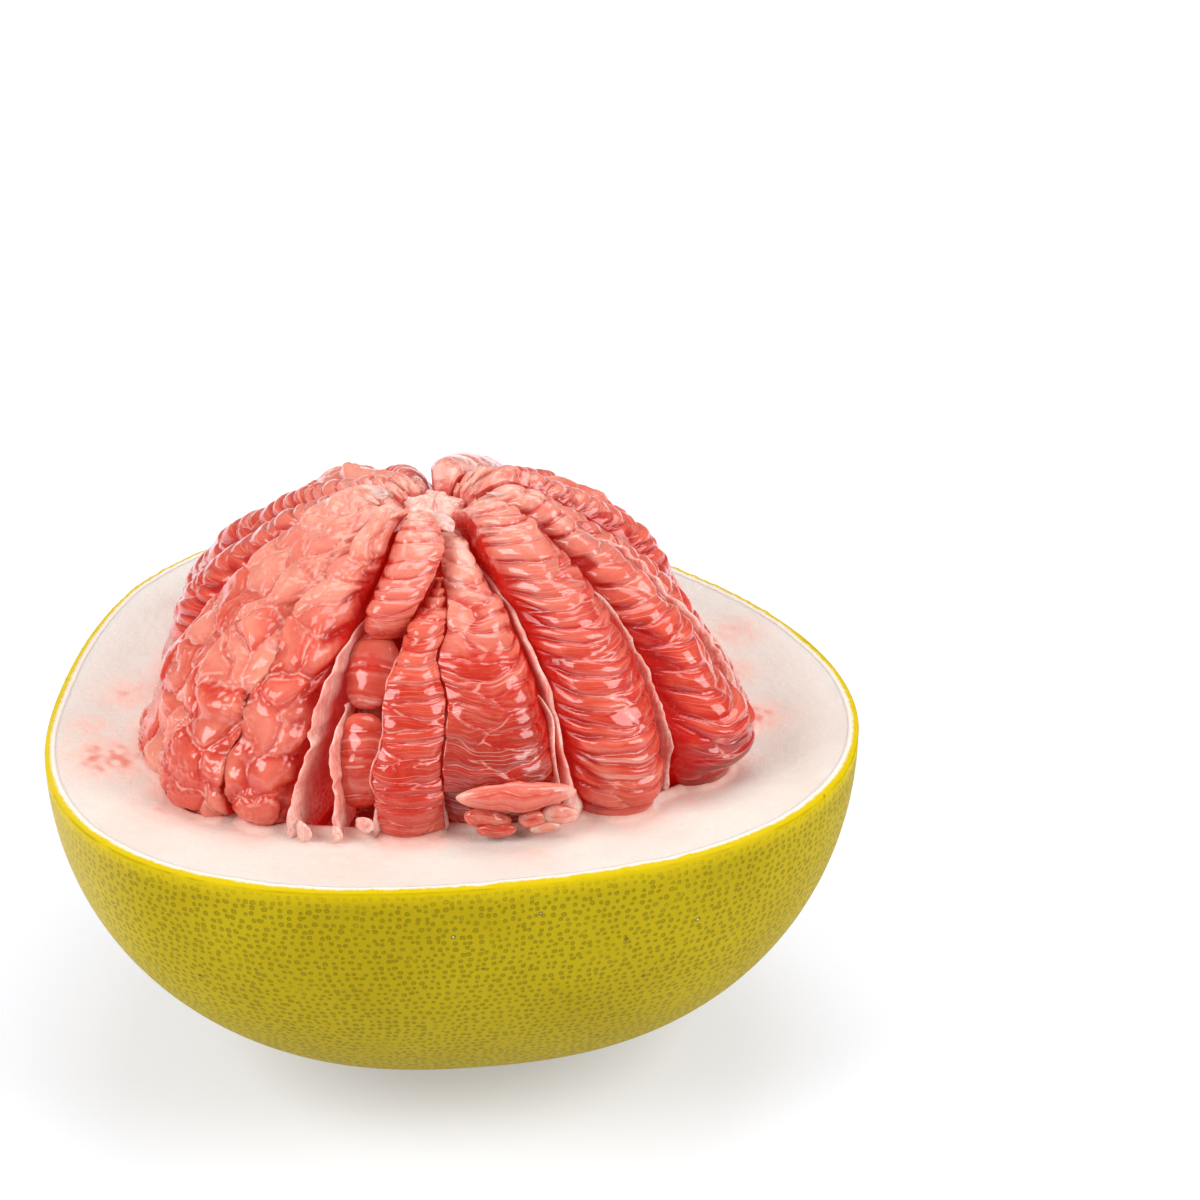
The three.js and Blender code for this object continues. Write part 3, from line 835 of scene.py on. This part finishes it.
def segment(index):
    own = SEGMENTS[index]
    step, columns = HIDDEN if 2 < index < 10 else SEEN
    end = HIGH_LENGTH * own["top"]
    skin_rows = np.linspace(SKIN_START, end, round((end - SKIN_START) / step))
    rows = np.concatenate([-LOW_LENGTH * (1 - BURIED_ROWS), skin_rows])
    along, s = rows[:, None], across(columns)[None, :]
    angle, distance, height, depth, first, last = flesh_surface(index, along, s)
    outer = place(angle, distance, height)
    thin = inner_edge(first, last)
    corners = []
    for seam, side in ((first, 1), (last, -1)):
        _, height = row_point(row_line(seam, along), 1000.0, thin)
        corners.append(place(seam + side * CLEAR / thin, thin, height))
    share = np.array(FLANK)[None, :, None]
    right_flank = outer[:, :1] + (corners[0] - outer[:, :1]) * share[:, ::-1]
    left_flank = outer[:, -1:] + (corners[1] - outer[:, -1:]) * share
    rings = np.concatenate([corners[0], right_flank, outer, left_flank, corners[1]], 1)
    widths = np.linalg.norm(np.diff(rings, axis=1), axis=2) / MM
    measured = np.concatenate([np.zeros((len(rows), 1)), np.cumsum(widths, 1)], 1)
    middle = len(FLANK) + 1 + columns // 2
    measured -= measured[:, middle : middle + 1]
    pad = ((0, 0), (len(FLANK) + 1, len(FLANK) + 1))
    groove = np.pad(depth, pad, constant_values=1.0)
    deep_seam = np.where(s < 0, SEAMS[index][2] > 4, SEAMS[(index + 1) % len(SEAMS)][2] > 4)
    room = (1 - 0.75 * deep_seam * smooth(np.abs(s), 0.75, 1)) * smooth(along, -6, -1)
    room = room * (1 - smooth(along, end - 2, end))
    tone = own["tone"] * smooth(along, 36, 27) + own["foot_tone"] * smooth(along, 12, 8)
    tone = tone + own["top_tone"] * smooth(along, own["top_from"], own["top_from"] + 4)
    attributes = {
        "surface_mm": np.stack(np.broadcast_arrays(along, measured, 0.0), -1),
        "groove": groove, "relief_room": np.pad(np.broadcast_to(room, depth.shape), pad),
        "height_share": np.broadcast_to(along / HIGH_LENGTH + tone, measured.shape),
        "milky": np.full(measured.shape, own["small_sacs"]),
    }
    name = f"segment_{index + 1:02d}"
    piece = lofted(name + "_sacs", rings, attributes)
    with_nodes(piece, sac_relief, seed=index + 1, **own)
    finish_piece(piece, "flesh", name)


for index in range(len(SEGMENTS)):
    segment(index)

# %% [markdown]
# Some sacs have come loose. They are spindles: round in the middle, drawn out at both ends, and
# lying where they fell, two big ones in the gap and one with crumbs at the foot. The function that
# makes them serves the torn skin as well, which is a spindle pressed flat.


# %% Spindles
def spot(direction, along, inwards):
    """A point of the flesh in metres, by its direction in degrees, and mm along and below the outline."""
    angle = radians(direction)
    distance, height = row_point(row_line(np.array(angle), np.array(float(along))), inwards)
    return place(angle, distance, height)


def spindle(name, ends, width, flat=0.8, blunt=0.5, seed=0, sag=0.0, pale=0.2, rough=0.08):
    """A closed spindle between two spots, flattened towards the flesh, with seeded uneven sides."""
    start, stop = (spot(*end) for end in ends)
    t = np.linspace(0.004, 0.996, 44)[:, None, None]
    line = stop - start
    length = np.linalg.norm(line)
    out = (start + stop) / 2 - np.array([0, 0, CUT_HEIGHT * MM])
    out = out - line * (out @ line) / length**2
    out /= np.linalg.norm(out)
    side = np.cross(line / length, out)
    turn = (np.arange(28) / 28 * tau)[None, :, None]
    round_off = (4 * t * (1 - t)) ** blunt
    walk = [t * length / MM, np.cos(turn) * 3, np.sin(turn) * 3 + seed]
    walk = np.concatenate(np.broadcast_arrays(*walk), -1)
    uneven = 1 + rough * (waves(walk, 7, seed + 300) + 0.4 * waves(walk, 2.4, seed + 301))[..., None]
    radius = width / 2 * MM * round_off * uneven
    bent = start + line * t + out * (sag * MM * 4 * t * (1 - t))
    rings = bent + side * np.cos(turn) * radius - out * np.sin(turn) * radius * flat
    flat_place = np.concatenate(np.broadcast_arrays(walk[..., :1], turn * width / 2, 0.0), -1)
    ends_paler = pale + 0.6 * (2 * t - 1) ** 4
    values = {
        "groove": 0.0, "relief_room": 0.6 * round_off, "height_share": ends_paler, "milky": 0.35,
        "lip_share": 1.0,
    }
    values = {key: np.broadcast_to(value, radius.shape) for key, value in values.items()}
    return lofted(name, rings, {"surface_mm": flat_place, **values})


def joined(pieces, name):
    with bpy.context.temp_override(active_object=pieces[0], selected_editable_objects=pieces):
        bpy.ops.object.join()
    pieces[0].name = name
    return pieces[0]


LOOSE = [  # both ends, by direction, mm along and mm inwards; width, flatness, blunt, sag, paleness, rough
    ((255.6, 3, 8.5), (254.8, 22.5, 8.5), 10.4, 0.5, 0.36, 1.2, -0.1, 0.08),
    ((254.6, 22.8, 9.5), (253.0, 39.5, 9.5), 9.6, 0.5, 0.34, 0.8, 0.05, 0.08),
    ((275.4, 8.2, -0.6), (297.6, 7.4, -0.6), 5.6, 0.75, 0.6, 1.2, 0.6, 0.08),
    ((277.0, 4.0, 1.0), (285.8, 2.2, 0.6), 4.2, 0.7, 0.5, 0.3, 0.1, 0.2),
    ((279.0, 1.4, -0.6), (286.4, 0.9, -0.8), 2.8, 0.7, 0.5, 0.2, 0.0, 0.2),
    ((287.0, 2.6, 0.4), (291.6, 2.2, -0.6), 3.6, 0.7, 0.5, 0.2, 0.5, 0.2),
    ((291.2, 3.4, 0.2), (297.6, 2.6, -0.4), 4.0, 0.7, 0.5, 0.3, 0.9, 0.2),
    ((288.6, 1.0, -1.6), (294.0, 1.4, -1.4), 2.2, 0.7, 0.5, 0.1, 0.9, 0.2),
]
IN_THE_GAP = 2  # the first two look like pieces of the segment behind them
loose = []
for number, (start, stop, width, flat, blunt, sag, pale, rough) in enumerate(LOOSE):
    piece = spindle(f"loose_{number}", (start, stop), width, flat, blunt, number, sag, pale, rough)
    pitch, length = (5.0, 220.0) if number < IN_THE_GAP else (30.0, 2.6)
    grain = dict(pitch=pitch, length=length, depth=0.3, warp=1.5, arch=0, seed=40 + number)
    loose.append(with_nodes(piece, sac_relief, **grain))
loose_sacs = joined(loose, "loose_sacs")
finish_piece(loose_sacs, "flesh")

# %% [markdown]
# ## The pith
#
# The pith is the thick white sponge under the skin. Its cut face is almost flat, sinks a little
# towards the flesh, follows the round ends of the segments, and is stained pink where juice has
# soaked in. The stain is a number on each point of the mesh, made from the distance to the flesh.


# %% Where the flesh meets the pith
def flesh_edge(angle):
    """Distance from the core to the flesh at the level of the cut, with its scallops."""
    edge = np.zeros_like(angle)
    for index in range(len(SEGMENTS)):
        face = flesh_surface(index, np.zeros((1, 1)), across(62)[None, :])
        middle, distance, _, _, first, last = face
        order = np.argsort(middle[0])
        turned = (angle - first.ravel()[0]) % tau
        inside = turned <= (last - first).ravel()[0]
        found = np.interp(turned, (middle[0] - first.ravel()[0])[order], distance[0][order])
        edge = np.where(inside, found, edge)
    return edge


inner = flesh_edge(around)
mean_edge = FLESH_RADIUS + lobes(around)
inner = np.maximum(inner, mean_edge - 5.5) - 0.35
print(f"the pith starts {inner.min():.1f} to {inner.max():.1f} mm from the core")

# %% Lofting the pith
BLOTCHES = (  # place on the cut face, reach and strength, all but the last in mm
    (-64, -26, 9, 1.0), (-62, 2, 8, 0.6), (-50, -46, 10, 0.6), (62, -7, 7, 0.9), (58, 12, 7, 0.7),
    (47, -38, 9, 0.6), (-14, -65, 9, 0.5), (20, -64, 7, 0.35), (-68, -12, 6, 0.5), (20, 66, 9, 0.5),
    (-30, 60, 9, 0.6), (60, 30, 8, 0.5),
)
FACE_ROWS, WELL_ROWS = 64, 12  # across the cut face, and down along the flesh
rings = [bowl(np.sin(turn), RIND_THICKNESS) for turn in np.linspace(np.arcsin(0.98), 0.05, 14)]
stains = [np.zeros(SIDES)] * len(rings)
outer_edge = rim_radius - RIND_THICKNESS
for share in np.linspace(0, 1, FACE_ROWS) ** 0.85:
    distance = outer_edge + (inner - outer_edge) * share
    from_flesh = distance - inner
    lip = 1.2 * smooth(from_flesh, 2.2, 0.0) * smooth(mean_edge - distance, -1.0, 2.5)
    height = cut_level(around, distance) + lip
    rings.append(place(around, distance, height))
    flat = on_the_level(around, distance)
    soak = 3.2 + 2.2 * waves(flat, 22, 6) + 1.2 * waves(flat, 6, 7)
    stain = 0.8 * np.exp(-np.maximum(from_flesh, 0) / np.maximum(soak, 0.7))
    for x, y, reach, strength in BLOTCHES:
        away = np.hypot(flat[:, 0] - x, flat[:, 1] - y) / reach
        stain = np.maximum(stain, strength * np.exp(-away * away) * (0.75 + 0.35 * waves(flat, 4, 8)))
    stains.append(np.clip(stain, 0, 1))
for share in np.linspace(0.02, 1, WELL_ROWS):
    distance, height, _ = flesh_outline(-LOW_LENGTH * share)
    distance = distance * (FLESH_RADIUS + lobes(around)) / FLESH_RADIUS + 1.2
    distance = np.minimum(distance, inner + 0.2 + 30 * share)
    rings.append(place(around, distance, height - 1.0 - 1.2 * share))
    stains.append(np.ones(SIDES))
pith = lofted("pith_sponge", np.array(rings), {"stain": np.array(stains)})

# %% The pith's finish
sponge, tree, shader = material(
    "pith_sponge", IOR=1.4, Subsurface_Weight=0.3, Subsurface_Scale=0.003,
    Subsurface_Radius=(1.0, 0.8, 0.7),
)
at = object_mm(tree)
mottled = (attribute(tree, "stain") * (0.75 + 0.7 * at.noise(0.35, 4, 0.6))).clamped()
white = at.noise(0.05, 2).ramp(0.35, 0.65).blend("e2d8ce", "ded0c6")
stained = white.layered(
    (at.noise(1.4, 3).ramp(0.35, 0.7) * 0.25, "d6c6bb"),
    (at.part("Y").ramp(-30, 30) * 0.6, "efe6df"),  # painted light: whiter towards the back
    (mottled.ramp(0.02, 0.55) * 0.85, "f5c9bb"),
    (mottled.ramp(0.45, 1.0) * 0.8, "e9806c"),
)
spongy = at.noise(0.7, 3, 0.6) + at.noise(3.5, 2) * 0.35
feed(
    tree, shader, Base_Color=stained,
    Roughness=0.78 - 0.35 * mottled.ramp(0.5, 1.0),
    Normal=spongy.relief(0.22),
)
pith.data.materials.append(sponge)
finish_piece(pith, "pith", "pith")

# %% [markdown]
# ## The core and the membranes
#
# The fruit hangs on a white core, and a thin membrane runs out from it along each seam. Where the
# segments' outer skins were torn off, the membranes end in a thickened, wavy lip, which stands in
# the groove as a pale line and spreads into a small foot on the pith. Each is a lofted sheet. Torn
# strips, flat shreds round the core and feet on the pith are added, and all of it is joined in one
# mesh, as it grew.

# %% Building the membranes
SHEET_ROWS = 150
SHEET_START = 3.0  # mm from the axis
reach_share = np.array([0, 0.35, 0.7, 0.85, 0.93, 0.97, 0.985, 1.0])


def membrane(name, seam, seed, low, high, lip=0.35, foot=1.0, sway=0.4, sinks=0.35, rise=0.0, kinks=0.0):
    """One sheet between two lengths along the outline, with a wavy lip and a foot on the pith.

    From the share of the height given by sinks it lies deep between the segments. Each point knows
    how near it is to the lip.
    """
    along = np.linspace(low, high, SHEET_ROWS)
    walk = np.stack([along, np.full_like(along, seed * 31.0)], -1)
    deep = (seam[3] - rise * smooth(along, 3, 14)) * smooth(along, -8, 0)
    deep = deep + 0.9 * waves(walk, 11, seed) + 0.4 * waves(walk, 3.5, seed + 50)
    deep = deep + 7 * smooth(along, HIGH_LENGTH * sinks, HIGH_LENGTH * (sinks + 0.25))
    deep = np.maximum(deep, 0.8) + 1.5 * smooth(along, -2, -8) + 6 * smooth(along, high - 7, high)
    sideways = sway * (waves(walk, 15, seed + 90) + 0.5 * waves(walk, 5, seed + 91))
    sideways = sideways + kinks * waves(walk, 3.2, seed + 92)
    line = row_line(seam_angle(seam, along), along)
    outer, outer_height = row_point(line, deep, SHEET_START + 1)
    distance = SHEET_START + (outer - SHEET_START)[:, None] * reach_share
    axis = line[2][:, None]
    height = axis + (outer_height[:, None] - axis) * distance / outer[:, None]
    edge = lip * (1 + 0.45 * waves(walk, 6, seed + 130)) + foot * smooth(along, 8, 0) * smooth(along, -4, 0)
    thick = 0.3 + np.maximum(edge, 0.12)[:, None] * smooth(reach_share, 0.9, 0.985)
    thick = thick * np.where(reach_share > 0.99, 0.45, 1.0)
    angle = seam_angle(seam, along)[:, None] + sideways[:, None] * reach_share**4 / distance
    half = thick / 2 / distance
    right_side, left_side = (place(angle + turn, distance, height) for turn in (-half, half))
    rings = np.concatenate([right_side, left_side[:, ::-1]], 1)
    share = np.concatenate([reach_share, reach_share[::-1]])
    return lofted(name, rings, {"lip_share": np.broadcast_to(share, rings.shape[:2])})


CORE_OUTLINE = (
    (2.5, -49), (5, -46), (5.6, -37), (4.5, 0), (5, 30), (5.9, 37), (5.8, 40.2), (4.4, 42), (2, 42.9),
)


def core_rings():
    """A ridged column that opens into an uneven white knob at the top."""
    turn = np.arange(136) / 136 * tau
    rings = []
    for distance, height in through(np.array(CORE_OUTLINE, float), 8):
        ridges = 1 + 0.05 * np.cos(17 * turn + 0.6) + 0.06 * np.cos(5 * turn + height / 9)
        knob = np.stack([5 * np.cos(turn), 5 * np.sin(turn), np.full_like(turn, height)], -1)
        lumps = 1 + 0.18 * waves(knob, 4, 21) + 0.08 * waves(knob, 1.6, 23)
        bumps = 0.8 * waves(knob, 3.5, 22) + 0.35 * waves(knob, 1.4, 24)
        rings.append(place(turn, distance * ridges * lumps, height + bumps * smooth(height, 33, 37)))
    return np.array(rings)


# %% The core and the membranes in one mesh
LIPS = {  # what sets single seams apart
    0: dict(lip=0.35, foot=0.3, rise=2.0, kinks=0.3, sinks=0.5),
    1: dict(lip=0.45, sway=0.6, rise=4.0, kinks=1.1, sinks=0.6),
    11: dict(lip=0.15, rise=3.0), 12: dict(lip=0.15, rise=3.5),
    13: dict(lip=0.15, foot=2.0, sinks=0.4, sway=0.6, kinks=0.35),
    14: dict(lip=0.25, foot=1.2, sinks=0.4),
    16: dict(lip=0.6, foot=3.6, sinks=0.5),
}
TORN = [  # a seam, and the lengths along the outline between which a strip of skin still stands
    ((253.0, 239, 0, 2.2), -6, 24, dict(lip=0.1, foot=1.0, kinks=0.2)),
    ((296.6, 297.4, 0, 4.2), -4, 29, dict(lip=0.15, foot=0.4)),
]
FEET = (  # torn skin on the pith: its two ends, and its width in mm
    ((245.6, 1.2, 4.2), (249.8, 0.4, 0.6), 3.6), ((252.6, 0.6, 3.0), (255.2, 0.5, 0.4), 3.4),
    ((256.6, 0.6, 4.4), (260.0, 3.6, 1.6), 3.6),
)
SHREDS = (172, 190, 206, 222, 240, 262, 284, 306, 326, 345)  # directions of skin round the core
core = core_rings()
strips = [lofted("core", core, {"lip_share": np.ones(core.shape[:2])})]
lowest, highest = -LOW_LENGTH * 0.8, HIGH_LENGTH - 1.5
for number, seam in enumerate(SEAMS):
    strips.append(membrane(f"sheet_{number}", seam, number, lowest, highest, **LIPS.get(number, {})))
for number, (seam, low, high, lip) in enumerate(TORN):
    strips.append(membrane(f"torn_{number}", seam, 40 + number, low, high, **lip))
for number, (start, stop, wide) in enumerate(FEET):
    strips.append(spindle(f"foot_{number}", (start, stop), wide, 0.3, 0.6, 80 + number, 0.5, rough=0.3))
draw = np.random.default_rng(5)
for number, direction in enumerate(SHREDS):
    far = draw.uniform(61, 66)
    ends = ((direction, far, 2.6), (direction + draw.uniform(-20, 20), 74.5, 2.2))
    wide = draw.uniform(3, 5)
    strips.append(spindle(f"shred_{number}", ends, wide, 0.16, 0.8, 60 + number, 0.4, rough=0.25))
membranes = joined(strips, "core_and_skins")

# %% The membranes' finish
moist, tree, shader = material(
    "moist_membrane", IOR=1.38, Subsurface_Weight=0.5, Subsurface_Scale=0.003,
    Subsurface_Radius=(1.0, 0.45, 0.35), Coat_Roughness=0.15, Emission_Strength=1.0,
)
at = object_mm(tree)
up = at.part("Z")
# painted shade and glow: deep between the segments the membrane is darker red and glows more; all of it
# glows a little, as light through the flesh
deep_shade_and_glow = (attribute(tree, "lip_share") + 0.09 * (at.noise(0.18, 3) - 0.5)).ramp(0.93, 0.8)
fibrous = at.scaled(1.0, 1.0, 0.3).noise(0.9, 3)
skin = at.noise(0.22, 3).ramp(0.35, 0.65).blend("e8968a", "f2bbae")
skin = skin.layered(
    (fibrous.ramp(0.5, 0.72) * 0.6, "f5d3c8"),
    # painted shade: dark red deep between the segments
    (deep_shade_and_glow * 0.9, at.noise(0.3, 4, 0.6).ramp(0.44, 0.6).blend("a3120d", "b8636a")),
    (up.ramp(77, 72.5) * at.noise(0.8, 3).ramp(0.35, 0.6) * 0.8, "f2dace"),  # at the pith
    (up.ramp(106, 113) * at.noise(0.45, 4, 0.6).ramp(0.42, 0.62), "f0cfc2"),  # at the top
    (at.noise(0.9, 3, 0.6).ramp(0.5, 0.66) * up.ramp(104, 84) * 0.45, "c86a68"),
)
veins = at.scaled(1.0, 1.0, 0.25).noise(1.4, 3, 0.6) + at.noise(0.4, 2)
feed(
    tree, shader, Base_Color=skin,
    # painted light: a red glow, strongest deep between the segments
    Emission_Color=deep_shade_and_glow.blend("4a0a06", "7e1a17"),
    Roughness=0.3 + 0.25 * at.noise(0.7),
    Coat_Weight=0.3 + 0.3 * at.noise(0.3),
    Normal=veins.relief(0.5),
)
membranes.data.materials.clear()
membranes.data.materials.append(moist)
finish_piece(membranes, "membrane", "core_and_membranes")
